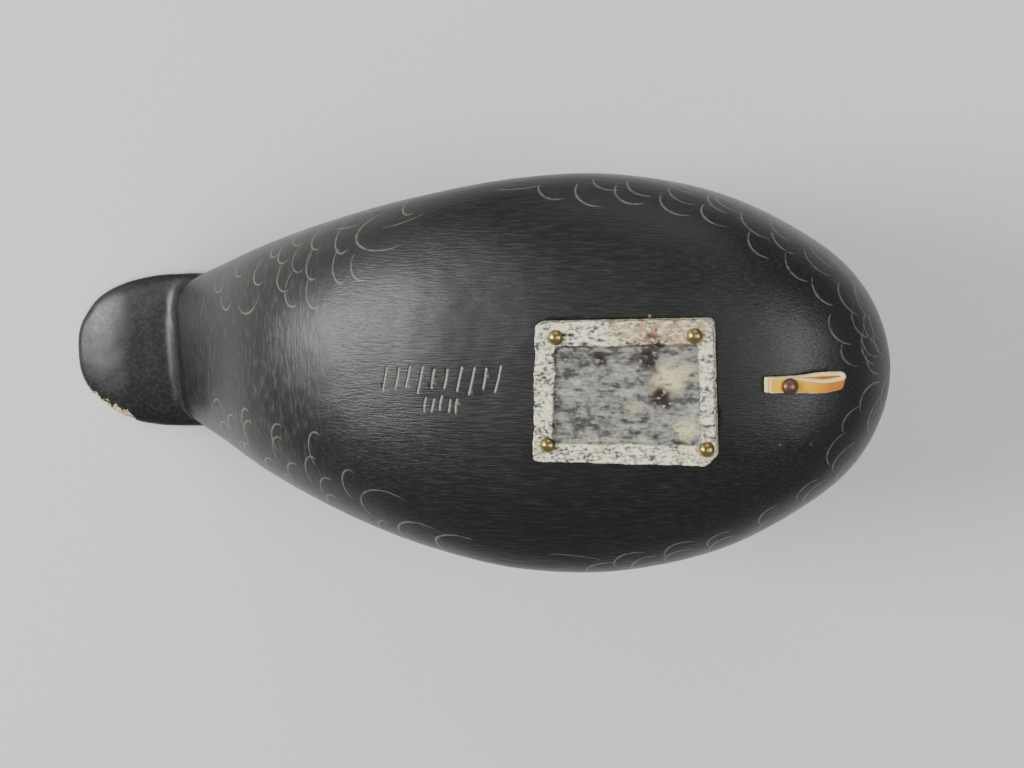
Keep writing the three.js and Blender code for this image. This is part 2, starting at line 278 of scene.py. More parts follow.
# A skin over lumps, drawn onto their exact surfaces except at the seams, which are smoothed round
def carved(shapes, block):
    trees = [BVHTree.FromBMesh(shape) for shape in shapes]
    mesh = skinned(joined(shapes), block["grain"])
    points = pointsOf(mesh)
    spots, gaps = zip(*[nearest(tree, points) for tree in trees])
    gaps = np.array(gaps)
    own = gaps.argmin(axis=0)
    onto = np.array(spots)[own, np.arange(len(points))]
    second = np.sort(gaps, axis=0)[1]
    fillet = block["fillet"] * np.where(points[:, 0] < carving["sternFrom"], carving["sternShare"], 1)
    low, high = carving["seam"]
    free = np.clip((second / fillet - low) / (high - low), 0, 1)[:, None]
    movePoints(mesh, points + (onto - points) * free)
    bm = bmesh.new()
    bm.from_mesh(mesh)
    bm.verts.ensure_lookup_table()
    for share in (1.0, 0.66, 0.4):  # wider passes first, so that the fillet fades out
        zone = [bm.verts[i] for i in np.flatnonzero(second < fillet * share)]
        for _ in range(block["filletPasses"] // 3):
            bmesh.ops.smooth_vert(bm, verts=zone, factor=0.5, use_axis_x=True, use_axis_y=True, use_axis_z=True)
    bm.to_mesh(mesh)
    bm.free()
    return mesh


def sawn(mesh, height, **cleared):  # cut level, and the cut filled
    bm = bmesh.new()
    bm.from_mesh(mesh)
    cut = bmesh.ops.bisect_plane(bm, geom=bm.verts[:] + bm.edges[:] + bm.faces[:], plane_co=(0, 0, height),
                                 plane_no=(0, 0, 1), **cleared)["geom_cut"]
    bmesh.ops.triangle_fill(bm, use_beauty=True, edges=[e for e in cut if isinstance(e, bmesh.types.BMEdge)])
    bmesh.ops.recalc_face_normals(bm, faces=bm.faces)
    bm.to_mesh(mesh)
    bm.free()


def flattenOnGround(points):  # nothing reaches below the ground once the duck is on its back
    slope = math.radians(stance["pitch"])
    up = np.array([math.sin(slope), 0, -math.cos(slope)])
    clearance = stance["restHeight"] * math.cos(slope) + points @ up
    return points - np.minimum(clearance, 0)[:, None] * up


def fromLine(points, a, b):  # offsets in plan from a line's nearest place, and that place's share of the line
    run = b - a
    t = np.clip(((points - a) @ run) / (run @ run), 0, 1)
    return points - a - t[:, None] * run, t


def outlineDistance(points, outline):  # signed distance in plan, positive inside a closed outline
    best = np.full(len(points), 1e9)
    inside = np.zeros(len(points), bool)
    for a, b in zip(outline, np.roll(outline, -1, axis=0)):
        run = b - a
        best = np.minimum(best, np.linalg.norm(fromLine(points, a, b)[0], axis=1))
        crosses = (a[1] > points[:, 1]) != (b[1] > points[:, 1])
        height = np.where(run[1] == 0, 1e-9, run[1])
        inside ^= crosses & (points[:, 0] < a[0] + run[0] * (points[:, 1] - a[1]) / height)
    return np.where(inside, best, -best)


def roundedOutline(corners, steps=8):  # smooth curve through the corners
    corners = np.array(corners, float)
    made = []
    for i in range(len(corners) - 1):
        p0, p1, p2 = corners[max(i - 1, 0)], corners[i], corners[i + 1]
        p3 = corners[min(i + 2, len(corners) - 1)]
        for t in np.arange(steps) / steps:
            made.append(0.5 * (2 * p1 + (p2 - p0) * t + (2 * p0 - 5 * p1 + 4 * p2 - p3) * t ** 2
                               + (3 * p1 - p0 - 3 * p2 + p3) * t ** 3))
    return np.array(made + [corners[-1]])


# Wings: low relief on the back, with a few long feather grooves
def raiseWings(points, normals):
    plan = np.column_stack([points[:, 0], np.abs(points[:, 1])])
    inside = outlineDistance(plan, roundedOutline(wings["outline"]))
    onBack = smoothstep(*wings["floor"], points[:, 2]) * (normals[:, 2] > 0)
    rise = wings["rise"] * smoothstep(*wings["edge"], inside) * onBack
    for x1, y1, x2, y2 in wings["grooves"]:
        offset, t = fromLine(plan, np.array([x1, y1]), np.array([x2, y2]))
        sideways = np.array([y1 - y2, x2 - x1]) / math.dist((x1, y1), (x2, y2))
        bow = wings["grooveBow"] * np.sin(math.pi * t)[:, None] * sideways
        away = np.linalg.norm(offset - bow, axis=1)
        rise -= wings["grooveDepth"] * np.exp(-(away / wings["grooveWidth"] * 2) ** 2) * onBack * (inside > 0)
    return points + normals * rise[:, None]


# Splinters gone from the left edge of the tail, where bare wood shows
tailChips = {
    # x, half length, depth
    "chips": [(-77.6, 1.2, 1.5), (-75.7, 1.4, 1.9), (-73.6, 1.25, 2.1), (-71.6, 1.5, 1.8)],
    "behind": -69, "leftOf": 5,  # the stretch of tail that they are looked for on
    "ragged": 0.4, "from": 30.9, "to": 32.3,  # unevenness; heights that the broken face runs between
    "bite": 0.3,  # what is lost from the outline
    "shallowest": 0.1, "paintEdge": (0.14, 0.16),  # place and width of the paint's broken edge
    "finer": (0.6, 1.5),  # finer faces: middle and half width of their band, out from the broken faces
}


def chipProfile(points):  # how far a point stands out past the broken faces, and how deep they are there
    x = points[:, 0]
    edge = stationCurve(carving["tail"], 1)(stationAngle(carving["tail"], x)) + spine(x)
    deep = np.zeros(len(points))
    for place, half, depth in tailChips["chips"]:
        deep = np.maximum(deep, depth * np.sqrt(np.clip(1 - ((x - place) / half) ** 2, 0, 1)))
    deep *= 1 + tailChips["ragged"] * bumps(points, 0.6, 3)
    return points[:, 1] - edge + deep, deep


# Two rows of plain slanting strokes, scratched through the paint with a point
scratch = {
    "rows": [
        {"x": (-6.0, 15.8), "y": -0.9, "count": 10, "height": (3.0, 4.4), "seed": 11},
        {"x": (1.4, 8.2), "y": 3.3, "count": 5, "height": (1.9, 2.5), "seed": 12},
    ],
    "width": 0.28, "depth": 0.1, "bow": 0.12, "lean": 0.24,
    "below": 6, "finer": 0.8,  # height that the strokes stay under; finer faces this near to them
}


def scratchLines():
    lines = []
    for row in scratch["rows"]:
        dice = random.Random(row["seed"])
        for i in range(row["count"]):
            share = (i + 0.5 + dice.uniform(-0.12, 0.12)) / row["count"]
            x = row["x"][0] + (row["x"][1] - row["x"][0]) * share
            half = dice.uniform(*row["height"]) / 2
            y = row["y"] + dice.uniform(-0.3, 0.3)
            lean = scratch["lean"] * half + dice.uniform(-0.08, 0.08)
            bow = dice.uniform(-1, 1) * scratch["bow"]
            steps = np.linspace(-1, 1, 5)
            lines.append(np.column_stack([x - lean * steps + bow * (1 - steps ** 2), y + half * steps]))
    return lines


def distanceToLines(points, lines):
    best = np.full(len(points), 1e9)
    for line in lines:
        for a, b in zip(line[:-1], line[1:]):
            best = np.minimum(best, np.linalg.norm(fromLine(points[:, :2], a, b)[0], axis=1))
    return best


def refine(mesh, chosen):  # finer faces where small carving needs them
    bm = bmesh.new()
    bm.from_mesh(mesh)
    bm.verts.ensure_lookup_table()
    near = {int(i) for i in np.flatnonzero(chosen)}
    edges = [e for e in bm.edges if e.verts[0].index in near and e.verts[1].index in near]
    bmesh.ops.subdivide_edges(bm, edges=edges, cuts=3, use_grid_fill=True, smooth=0)
    bm.to_mesh(mesh)
    bm.free()
    return pointsOf(mesh)


def scratchUnderside(mesh):
    lines = scratchLines()
    points = pointsOf(mesh)
    near = distanceToLines(points, lines) < scratch["finer"]
    points = refine(mesh, (points[:, 2] < scratch["below"]) & near)
    groove = 1 - smoothstep(scratch["width"] * 0.2, scratch["width"] * 0.6, distanceToLines(points, lines))
    groove = np.where(points[:, 2] < scratch["below"], groove, 0)
    points[:, 2] += scratch["depth"] * groove
    movePoints(mesh, points)
    setAttribute(mesh, "scratched", groove)


def onChippedEdge(points):
    return (points[:, 0] < tailChips["behind"]) & (points[:, 1] > tailChips["leftOf"])


def chipTail(mesh):
    points = pointsOf(mesh)
    middle, half = tailChips["finer"]
    points = refine(mesh, onChippedEdge(points) & (np.abs(chipProfile(points)[0] - middle) < half))
    past, deep = chipProfile(points)
    chipped = onChippedEdge(points) & (deep > tailChips["shallowest"])
    cut = chipped & (past > 0)
    share = np.clip(past[cut] / deep[cut], 0, 1)
    face = tailChips["from"] + (tailChips["to"] - tailChips["from"]) * share
    face += 0.25 * bumps(points[cut], 0.8, 16)
    points[cut, 2] = np.maximum(points[cut, 2], face)
    points[cut, 1] -= tailChips["bite"] * share
    movePoints(mesh, points)
    setAttribute(mesh, "bareWood", cut * (points[:, 2] < tailChips["to"] + 0.4))
    place, width = tailChips["paintEdge"]
    setAttribute(mesh, "chipEdge", chipped * np.exp(-((past + place) / width) ** 2))


def sinkPlateSeat(points):
    inside = outlineDistance(points[:, :2], np.array(plate["corners"])) > plate["seatInset"]
    under = inside & (points[:, 2] < plate["seat"])
    points[under, 2] = plate["seat"]
    return points


def carveBody(material):
    shapes = [
        lump(carving["body"], carving["lowEdge"], carving["highEdge"], 180, 200),
        lump(carving["tail"], carving["tailEdge"], carving["tailEdge"], 120, 120),
        neckLump(),
    ]
    mesh = carved(shapes, carving)
    points, normals = pointsOf(mesh), pointsOf(mesh, "normal")
    points = raiseWings(points, normals)
    spacing = carving["toolSpacing"]
    marks = bumps(points * [0.55, 1, 1], spacing, 1) + 0.5 * bumps(points, spacing * 0.4, 2)
    points = points + normals * (carving["toolMarks"] * marks)[:, None]
    movePoints(mesh, flattenOnGround(sinkPlateSeat(points)))
    sawn(mesh, carving["neckSeat"], clear_outer=True)
    chipTail(mesh)
    scratchUnderside(mesh)
    paintFeatherEdges(mesh)
    return placePiece("painted_body", mesh, material, ["body"])


# Feather edging: fine painted arcs, in rows of tips from the belly up to the back. Each arc is part
# of an ellipse: half sizes along and up the body, lean, and the middle and half of its sweep in degrees,
# from 0 forwards, 90 up the flank, 180 to the tail and 270 down to the keel
edging = {
    "kinds": {
        "hook": {"size": (2.1, 3.3), "lean": -12, "sweep": (215, 88)},
        "cup": {"size": (2.9, 3.4), "lean": 0, "sweep": (262, 92)},
        "sweep": {"size": (6.2, 3.8), "lean": 8, "sweep": (205, 92)},
        "line": {"size": (7.5, 2.6), "lean": 6, "sweep": (262, 42)},
        "dash": {"size": (3.4, 1.5), "lean": -14, "sweep": (262, 52)},
        "scale": {"size": (3.7, 3.0), "lean": 12, "sweep": (218, 66)},
        "plain": {"size": (3.9, 3.6), "lean": 0, "sweep": (190, 72)},
        "fleck": {"size": (0.13, 0.13), "lean": 0, "sweep": (0, 180)},
    },
    # kind, how many, strength, path of the tips: x, degrees round from the keel
    "rows": [
        ("right", [
            ("hook", 1, 1.0, [(-41, 68)]), ("cup", 1, 1.0, [(-33, 46)]),
            ("hook", 2, 1.0, [(-24, 45), (-19, 41)]), ("hook", 4, 0.9, [(-45, 88), (-37, 75), (-26.5, 52)]),
            ("hook", 6, 0.9, [(-31, 72), (-20, 53), (-11, 47)]), ("hook", 3, 0.9, [(-26, 73), (-15, 58)]),
            ("sweep", 1, 1.0, [(-10.6, 58)]), ("dash", 1, 0.9, [(-14, 67)]),
            ("line", 2, 0.9, [(-2, 60), (17.7, 65)]), ("hook", 1, 0.7, [(-3, 66)]),
            ("scale", 10, 0.9, [(21, 64), (40, 63), (52, 60), (58, 55), (64, 50), (66.5, 38), (69, 18)]),
            ("scale", 10, 0.8, [(30, 68), (50, 68), (57, 63), (65, 59), (69, 46), (71.4, 27)]),
            ("scale", 8, 0.7, [(42, 72), (59.5, 70), (69, 66), (71, 54), (72, 30), (72, 12)]),
            ("hook", 5, 0.7, [(-44, 102), (-30, 90), (-12, 76)]),
            ("scale", 9, 0.6, [(36, 77), (56, 78), (68, 74), (72.5, 60), (73.6, 40)]),
        ]),
        ("left", [
            ("hook", 3, 1.0, [(-37, 42), (-27, 37), (-21.5, 34)]),
            ("hook", 6, 0.9, [(-45.5, 75), (-35, 49), (-25, 47), (-15, 49)]),
            ("hook", 6, 0.9, [(-48, 99), (-43, 81), (-34.6, 66), (-23, 54), (-19.5, 55)]),
            ("hook", 4, 0.8, [(-38.7, 73), (-24, 64), (-9.4, 64)]),
            ("sweep", 3, 0.9, [(-11.4, 52), (-5, 58), (2.2, 61)]), ("line", 1, 0.8, [(25.6, 62)]),
            ("scale", 8, 0.9, [(33.5, 63), (42, 62), (53, 60), (63, 55), (67, 38), (71, 12)]),
            ("scale", 8, 0.8, [(28, 66), (44, 66), (60.6, 64), (65, 58), (71.7, 40)]),
            ("scale", 7, 0.7, [(36, 72), (56, 72), (67, 68), (72, 50), (73.6, 30)]),
            ("hook", 5, 0.7, [(-44, 104), (-30, 88), (-12, 76)]),
        ]),
        ("right", [("fleck", 1, 1.6, [(39.4, 29.5)])]),
        ("left", [("fleck", 1, 0.5, [(59, 30)]), ("fleck", 2, 0.4, [(62.3, 27), (63.9, 34)])]),
    ],
    # plainer rows over the back and wings, the same on both sides: how many, from, to
    "backRows": [(13, (-40, 108), (66, 86)), (12, (-36, 118), (62, 98)), (11, (-34, 130), (22, 116)),
                 (9, (-32, 142), (20, 130)), (8, (-28, 154), (18, 146))],
    "width": 0.27, "wander": (0.8, 1.8),  # width of the brush line; how far tips stray, in mm and degrees
    "axis": 20, "perDegree": 0.45,  # height of the line that the degrees turn round; mm to a degree, about
    "layerDepth": 4, "leastFacing": 0.3,  # an arc paints only faces this near its plane and this much along it
}


def alongRow(path, count):  # tips evenly spaced on the surface
    path = np.array(path, float)
    if count == 1:
        return [path[0]]
    steps = np.linalg.norm(np.diff(path, axis=0) * [1, edging["perDegree"]], axis=1)
    run = np.concatenate([[0], np.cumsum(steps)])
    at = np.linspace(0, run[-1], count)
    return np.column_stack([np.interp(at, run, path[:, k]) for k in (0, 1)])


def onSurface(tree, x, degrees):  # straight out from a line through the body
    turn = math.radians(degrees)
    return tree.ray_cast(Vector((x, 0, edging["axis"])), Vector((0, math.sin(turn), -math.cos(turn))))[0]


def featherArcs(mesh):
    tree = BVHTree.FromPolygons([v.co for v in mesh.vertices], [p.vertices for p in mesh.polygons])
    rows = [(side, *row) for side, group in edging["rows"] for row in group]
    for count, start, end in edging["backRows"]:
        rows += [(side, "plain", count, 0.6, [start, end]) for side in ("right", "left")]
    arcs = []
    for r, (side, kind, count, strength, path) in enumerate(rows):
        dice = random.Random(100 + r)
        shape = edging["kinds"][kind]
        hand = -1 if side == "right" else 1
        for i, (x, degrees) in enumerate(alongRow(path, count)):
            stray = 0 if count == 1 else 1
            x += stray * dice.uniform(-1, 1) * edging["wander"][0]
            degrees = hand * (degrees + stray * dice.uniform(-1, 1) * edging["wander"][1])
            tip = onSurface(tree, x, degrees)
            near = [onSurface(tree, x + 0.8, degrees), onSurface(tree, x, degrees + 2 * hand)]
            if tip is None or None in near:
                continue
            forward = (near[0] - tip).normalized()
            up = near[1] - tip
            up = (up - up.dot(forward) * forward).normalized()
            lean = math.radians(shape["lean"] + dice.uniform(-6, 6))
            u = forward * math.cos(lean) + up * math.sin(lean)
            v = up * math.cos(lean) - forward * math.sin(lean)
            a, b = (s * dice.uniform(0.88, 1.12) for s in shape["size"])
            middle = math.radians(shape["sweep"][0] + dice.uniform(-8, 8))
            half = math.radians(shape["sweep"][1] * (1 if kind == "fleck" else dice.uniform(0.85, 1.08)))
            centre = tip - a * math.cos(middle) * u - b * math.sin(middle) * v
            arcs.append({"centre": np.array(centre), "u": np.array(u / a), "v": np.array(v / b),
                         "out": np.array(u.cross(v)), "middle": middle, "half": half, "size": (a + b) / 2,
                         "strength": strength * dice.uniform(0.8, 1.1), "layer": (i + r) % 2})
    return arcs


# Each face near an arc keeps its own place on that arc's ellipse, so that the line stays fine and sharp
def paintFeatherEdges(mesh):
    count = len(mesh.polygons)
    centres, normals = valuesOf(mesh.polygons, "center"), valuesOf(mesh.polygons, "normal")
    owner = valuesOf(mesh.loops, "vertex_index", np.int32, 1)
    corners = pointsOf(mesh)[owner]
    faceOf = np.repeat(np.arange(count), valuesOf(mesh.polygons, "loop_total", np.int32, 1))
    arcs = featherArcs(mesh)
    for layer in (0, 1):
        best = np.full(count, 1.0)
        chosen = np.full(count, -1)
        for k, arc in enumerate(arcs):
            if arc["layer"] != layer:
                continue
            rel = centres - arc["centre"]
            p, q = rel @ arc["u"], rel @ arc["v"]
            ring = np.hypot(p, q)
            turn = np.abs((np.arctan2(q, p) - arc["middle"] + math.pi) % math.tau - math.pi)
            away = np.hypot((ring - 1) * arc["size"], np.maximum(turn - arc["half"], 0) * arc["size"])
            near = np.abs(rel @ arc["out"]) < edging["layerDepth"]
            facing = np.abs(normals @ arc["out"]) > edging["leastFacing"]
            take = near & facing & (away < best)
            best[take], chosen[take] = away[take], k
        place, reach = np.zeros((len(owner), 3)), np.tile([1.0, 1.0, 0.0], (len(owner), 1))
        for k in np.unique(chosen[chosen >= 0]):
            arc = arcs[k]
            mine = chosen[faceOf] == k
            rel = (corners[mine] - arc["centre"]) * arc["size"]
            p, q = rel @ arc["u"], rel @ arc["v"]
            c, s = math.cos(arc["middle"]), math.sin(arc["middle"])
            place[mine] = np.column_stack([p * c + q * s, q * c - p * s, np.zeros(len(p))])
            reach[mine] = [arc["size"], arc["half"], arc["strength"]]
        for name, values in ((f"arcPlace{layer}", place), (f"arcReach{layer}", reach)):
            data = mesh.attributes.new(name, "FLOAT_VECTOR", "CORNER").data
            data.foreach_set("vector", values.astype(np.float32).ravel())


# Head and bill: one block, glued on the neck stump
headBlock = {
    "head": [
        [24.8, 0.0, 54.4, 54.4, 54.4], [26.4, 5.2, 54.2, 48.6, 59.4], [29.8, 8.0, 53.4, 45.2, 62.9],
        [35.0, 9.6, 52.0, 43.4, 64.7], [41.0, 9.7, 51.0, 43.4, 64.1], [46.6, 8.3, 50.6, 44.6, 61.4],
        [51.2, 6.3, 50.8, 46.2, 57.9], [55.2, 0.0, 51.4, 51.4, 51.4],
    ],
    "bill": [
        [45.0, 0.0, 51.0, 51.0, 51.0], [47.0, 4.6, 50.8, 46.6, 57.4], [52.0, 4.8, 50.4, 46.0, 56.0],
        [57.0, 4.4, 49.6, 46.0, 53.3], [62.0, 4.5, 48.8, 46.3, 51.6], [67.0, 4.7, 48.2, 46.7, 50.4],
        [69.6, 2.9, 48.0, 47.2, 49.2], [70.2, 0.0, 48.0, 48.0, 48.0],
    ],
    "headEdge": 2.2, "billEdge": 2.4, "grain": 0.36, "fillet": 2.6, "filletPasses": 24,
    "eye": (41.6, 56.0), "eyeRadius": 1.5, "eyeRise": 0.35,  # x and height of the eyes
    "nostril": (56.4, 51.6), "nostrilSize": (1.3, 0.5), "nostrilDepth": 0.4,
    "mouth": [(50.5, 48.6), (58, 47.6), (67, 47.5)], "mouthDepth": 0.22,  # x and height along the mouth's line
    "nail": 67.2, "nailGroove": 0.12, "billLine": 47.6,  # x of the bill's nail, and where its colour starts
}


def carveHead(material):
    bill = lump(headBlock["bill"], headBlock["billEdge"], headBlock["billEdge"], 80, 80)
    billTree = BVHTree.FromBMesh(bill)
    shapes = [lump(headBlock["head"], headBlock["headEdge"], headBlock["headEdge"], 120, 100), bill, neckLump()]
    mesh = carved(shapes, headBlock)
    points, normals = pointsOf(mesh), pointsOf(mesh, "normal")
    x, y, z = points.T
    onBill = nearest(billTree, points)[1] < 0.25
    push = carving["toolMarks"] * bumps(points, carving["toolSpacing"] * 0.7, 4) * (1 - onBill)
    eyeX, eyeZ = headBlock["eye"]
    away = np.hypot(x - eyeX, z - eyeZ) / headBlock["eyeRadius"]
    dome, lid = np.sqrt(np.clip(1 - away ** 2, 0, 1)), np.exp(-((away - 1.15) / 0.18) ** 2)
    push += headBlock["eyeRise"] * (dome - lid) * (np.abs(y) > 4)
    nostrilX, nostrilZ = headBlock["nostril"]
    long, high = headBlock["nostrilSize"]
    away = np.hypot((x - nostrilX) / long, (z - nostrilZ - 0.2 * (nostrilX - x)) / high)
    push -= headBlock["nostrilDepth"] * np.exp(-away ** 2) * (np.abs(y) > 1.2)
    mouth = curveThrough(*zip(*headBlock["mouth"]))(x)
    onMouth = smoothstep(49.5, 52, x) * (np.abs(y) > 0.4) * onBill
    push -= headBlock["mouthDepth"] * np.exp(-((z - mouth) / 0.3) ** 2) * onMouth
    nail = headBlock["nail"] + 0.18 * y ** 2
    push -= headBlock["nailGroove"] * np.exp(-((x - nail) / 0.3) ** 2) * onBill * (z > 47.5)
    movePoints(mesh, flattenOnGround(points + normals * push[:, None]))
    billX = headBlock["billLine"] - 0.25 * (z - 50) + 0.09 * y ** 2
    setAttribute(mesh, "bill", smoothstep(-0.5, 0.5, x - billX) * smoothstep(44.5, 45.2, z))
    sawn(mesh, carving["neckSeat"] + stance["glueLine"], clear_inner=True)
    return placePiece("painted_head", mesh, material, ["head"])


# Ballast: a lead plate cast with a raised rim, dented and oxidised
ballast = {
    # plan place, radius and depth of dents in the recess
    "dents": [
        ((41.1, 1.4), 1.6, 0.16), ((32.0, -4.4), 0.8, 0.2), ((39.7, -4.5), 1.3, 0.14), ((45.0, 5.6), 1.2, 0.1),
    ],
    "warp": 0.1, "lumps": 0.05, "pits": 0.0375,  # height of the casting's slow waves, lumps and pits
    "edgeWander": 0.16,  # how far the edges wander sideways
    # plan place, radius and strength of brown stains, rust and yellowed oxide
    "stains": [
        ((41.3, 1.6), 2.4, 1.0), ((32.0, -4.3), 1.5, 1.0), ((39.4, -4.8), 2.4, 1.0), ((40.5, -6.9), 1.8, 0.9),
        ((33.2, -3.0), 0.9, 0.5),
    ],
    "rust": [
        ((35.5, -9.0), 2.6, 0.8), ((39.5, -8.8), 3.0, 1.0), ((43.5, -8.9), 2.8, 1.0), ((47.6, -9.2), 1.7, 1.0),
        ((31.6, 9.6), 1.0, 0.7), ((44.4, 10.6), 1.4, 0.6), ((41.6, 1.0), 1.2, 0.8), ((48.6, 10.0), 1.4, 0.5),
    ],
    "cream": [
        ((42.3, -1.2), 2.6, 0.9), ((44.6, -2.6), 1.8, 0.6), ((45.0, 6.3), 1.8, 0.8), ((37.0, 3.0), 1.4, 0.3),
    ],
}


def drawnIn(sides):  # the plate's corners, moved in from its sides
    shift = [(sides["tail"], sides["right"]), (-sides["breast"], sides["right"]),
             (-sides["breast"], -sides["left"]), (sides["tail"], -sides["left"])]
    return np.array(plate["corners"]) + np.array(shift)


def spots(points, marks):  # soft round marks in plan: place, radius, strength
    total = np.zeros(len(points))
    for place, radius, strength in marks:
        away = np.linalg.norm(points[:, :2] - place, axis=1) / radius
        total = np.maximum(total, strength * smoothstep(1.35, 0.35, away))
    return total


def cornerOf(co, corners, low, high):  # a box's corner, put at the plate's corner on the same side
    i = {(False, False): 0, (True, False): 1, (True, True): 2, (False, True): 3}[(co.x > 0, co.y > 0)]
    return Vector((*corners[i], high if co.z > 0 else low))


def castPlate(material):
    bm = bmesh.new()
    bmesh.ops.create_cube(bm, size=2)
    for v in bm.verts:
        v.co = cornerOf(v.co, plate["corners"], -plate["proud"], plate["seat"] - stance["glueLine"])
    face = min(bm.faces, key=lambda f: f.calc_center_median().z)
    sloped = {side: rim + plate["slope"] for side, rim in plate["rims"].items()}
    for sides, height in ((plate["rims"], -plate["proud"]), (sloped, plate["recess"] - plate["proud"])):
        bmesh.ops.inset_region(bm, faces=[face], thickness=0.5, depth=0)
        middle = face.calc_center_median()
        for v in face.verts:
            v.co = cornerOf(v.co - middle, drawnIn(sides), height, height)
    clipped = Vector((*plate["corners"][2], 0))
    # upright edges, picked by how tall they stand: the clipped corner, the other three, the recess
    for low, high, size, segments, atClip in ((1, 9, plate["clip"], 1, True), (1, 9, plate["round"], 4, False),
                                              (0.5, 1, plate["innerRound"], 4, False)):
        upright = [e for e in bm.edges if low < abs(e.verts[0].co.z - e.verts[1].co.z) < high]
        chosen = [e for e in upright if ((e.verts[0].co - clipped).xy.length < 2) == atClip]
        bmesh.ops.bevel(bm, geom=chosen, offset=size, segments=segments, affect="EDGES", profile=0.5, material=-1)
    bmesh.ops.recalc_face_normals(bm, faces=bm.faces)
    mesh = skinned(bm, plate["grain"])
    points, normals = pointsOf(mesh), pointsOf(mesh, "normal")
    inside = outlineDistance(points[:, :2], drawnIn(plate["rims"]))
    wander = ballast["edgeWander"] * np.column_stack([bumps(points, 2.2, 5), bumps(points, 2.2, 6)])
    wander += 0.5 * ballast["edgeWander"] * np.column_stack([bumps(points, 0.7, 7), bumps(points, 0.7, 8)])
    shown = smoothstep(0.6, -0.4, points[:, 2])
    push = ballast["warp"] * bumps(points, 7, 9) + ballast["lumps"] * bumps(points, 1.7, 10)
    push += ballast["pits"] * bumps(points, 0.6, 12)
    for place, radius, depth in ballast["dents"]:
        push -= depth * np.exp(-(np.linalg.norm(points[:, :2] - place, axis=1) / radius) ** 2) * (inside > 0.5)
    softened = points + normals * (push * shown)[:, None]
    softened[:, :2] += wander * shown[:, None]
    movePoints(mesh, softened)
    setAttribute(mesh, "rim", smoothstep(0.15, -0.15, inside + 0.25 * bumps(points, 1.1, 13)))
    for name, seed in (("stains", 6), ("rust", 4), ("cream", 5)):
        setAttribute(mesh, name, spots(points + 0.9 * bumps(points, 1.3, seed)[:, None], ballast[name]))
    return placePiece("ballast_weight", mesh, material, ["ballast_plate"])


# Round-headed brass pins, each driven a little askew, and the bronze tack
pins = {
    "places": [(25.0, -8.0), (46.7, -8.3), (23.3, 9.1), (48.4, 9.2)], "lean": 3,  # in degrees, at most
    "head": 2.4, "dome": 0.85, "shank": 1.1, "length": 7.0, "rim": 0.3,
}
tack = {"x": 59.9, "y": -0.1, "head": 2.6, "dome": 0.95, "shank": 1.0, "length": 6.0, "rim": 0.3}


def spunNail(size, domeSteps=9, turns=40):
    radius, rim = size["head"] / 2, size["rim"]
    profile = [(0, size["length"]), (size["shank"] / 2, size["length"] - size["shank"]), (size["shank"] / 2, rim),
               (radius * 0.94, rim), (radius, rim * 0.6)]
    arc = np.linspace(0, math.pi / 2, domeSteps)
    profile += [(radius * math.cos(a), -size["dome"] * math.sin(a)) for a in arc[:-1]] + [(0, -size["dome"])]
    bm = bmesh.new()
    verts = [bm.verts.new((r, 0, z)) for r, z in profile]
    edges = [bm.edges.new(pair) for pair in zip(verts, verts[1:])]
    bmesh.ops.spin(bm, geom=verts + edges, cent=(0, 0, 0), axis=(0, 0, 1), dvec=(0, 0, 0), angle=math.tau,
                   steps=turns, use_merge=True)
    bmesh.ops.remove_doubles(bm, verts=bm.verts, dist=1e-4)
    bmesh.ops.recalc_face_normals(bm, faces=bm.faces)
    mesh = meshOf(bm)
    points = pointsOf(mesh)
    # dull band at the foot of the dome: partly patina in the crevice, partly painted shade
    setAttribute(mesh, "rimDirt", smoothstep(-size["dome"] * 0.55, 0, points[:, 2]))
    return mesh


def drivePins(material):
    dice = random.Random(5)
    for i, (x, y) in enumerate(pins["places"]):
        mesh = spunNail(pins)
        askew = [math.radians(dice.uniform(-1, 1) * pins["lean"]) for _ in range(2)]
        place = Matrix.Translation((x, y, -plate["proud"] - stance["glueLine"]))
        mesh.transform(place @ Matrix.Rotation(askew[0], 4, "X") @ Matrix.Rotation(askew[1], 4, "Y"))
        placePiece(f"brass_pin_{i + 1}", mesh, material, [f"plate_pin_{i + 1}"])


# Line loop: one strip of dried hide, doubled, with both ends under the tack
strip = {
    "width": 2.35, "thick": 0.8, "tail": 3.6, "upperTail": 3.0, "reach": 8.6,
    # the eye: how wide it opens, from which x to which, and how far it shuts again
    "opening": 0.75, "opens": 0.8, "widest": 5.0, "closes": 0.6,
    "twist": 38, "twistFrom": -2.0, "twistTo": 6.5, "lift": 0.55,  # degrees, from x to x, and the eye's rise
    "aside": -0.2, "bend": -0.36,  # it lies to the duck's right of its tack, and bends further
    "fray": 0.05, "fillet": 0.12,
}


def onBreast():  # the tack's own axes: x along the strip, z into the wood
    places = tack["x"] + np.array([-1, 0, 1])
    heights = stationCurve(carving["body"], 3)(stationAngle(carving["body"], places))
    slope = math.atan((heights[2] - heights[0]) / 2)
    return Matrix.Translation((tack["x"], tack["y"], heights[1])) @ Matrix.Rotation(-slope, 4, "Y")


def stripPath():  # the strip's outer face seen from its edge: x along it, and its place through the layers
    half = strip["opening"] / 2
    fold = strip["thick"] + half * (1 - strip["closes"])
    x = np.linspace(-strip["upperTail"], strip["reach"] - fold, 36)
    swell = smoothstep(strip["opens"], strip["widest"], x)
    swell -= strip["closes"] * smoothstep(strip["widest"], x[-1], x)
    upper = np.column_stack([x, strip["thick"] + half * swell])
    arc = np.linspace(math.pi / 2, -math.pi / 2, 20)[1:-1]
    eye = np.column_stack([x[-1] + fold * np.cos(arc), fold * np.sin(arc)])
    lower = upper[::-1] * [1, -1]
    lower[lower[:, 0] < 0] *= [strip["tail"] / strip["upperTail"], 1]
    return np.vstack([upper, eye, lower])


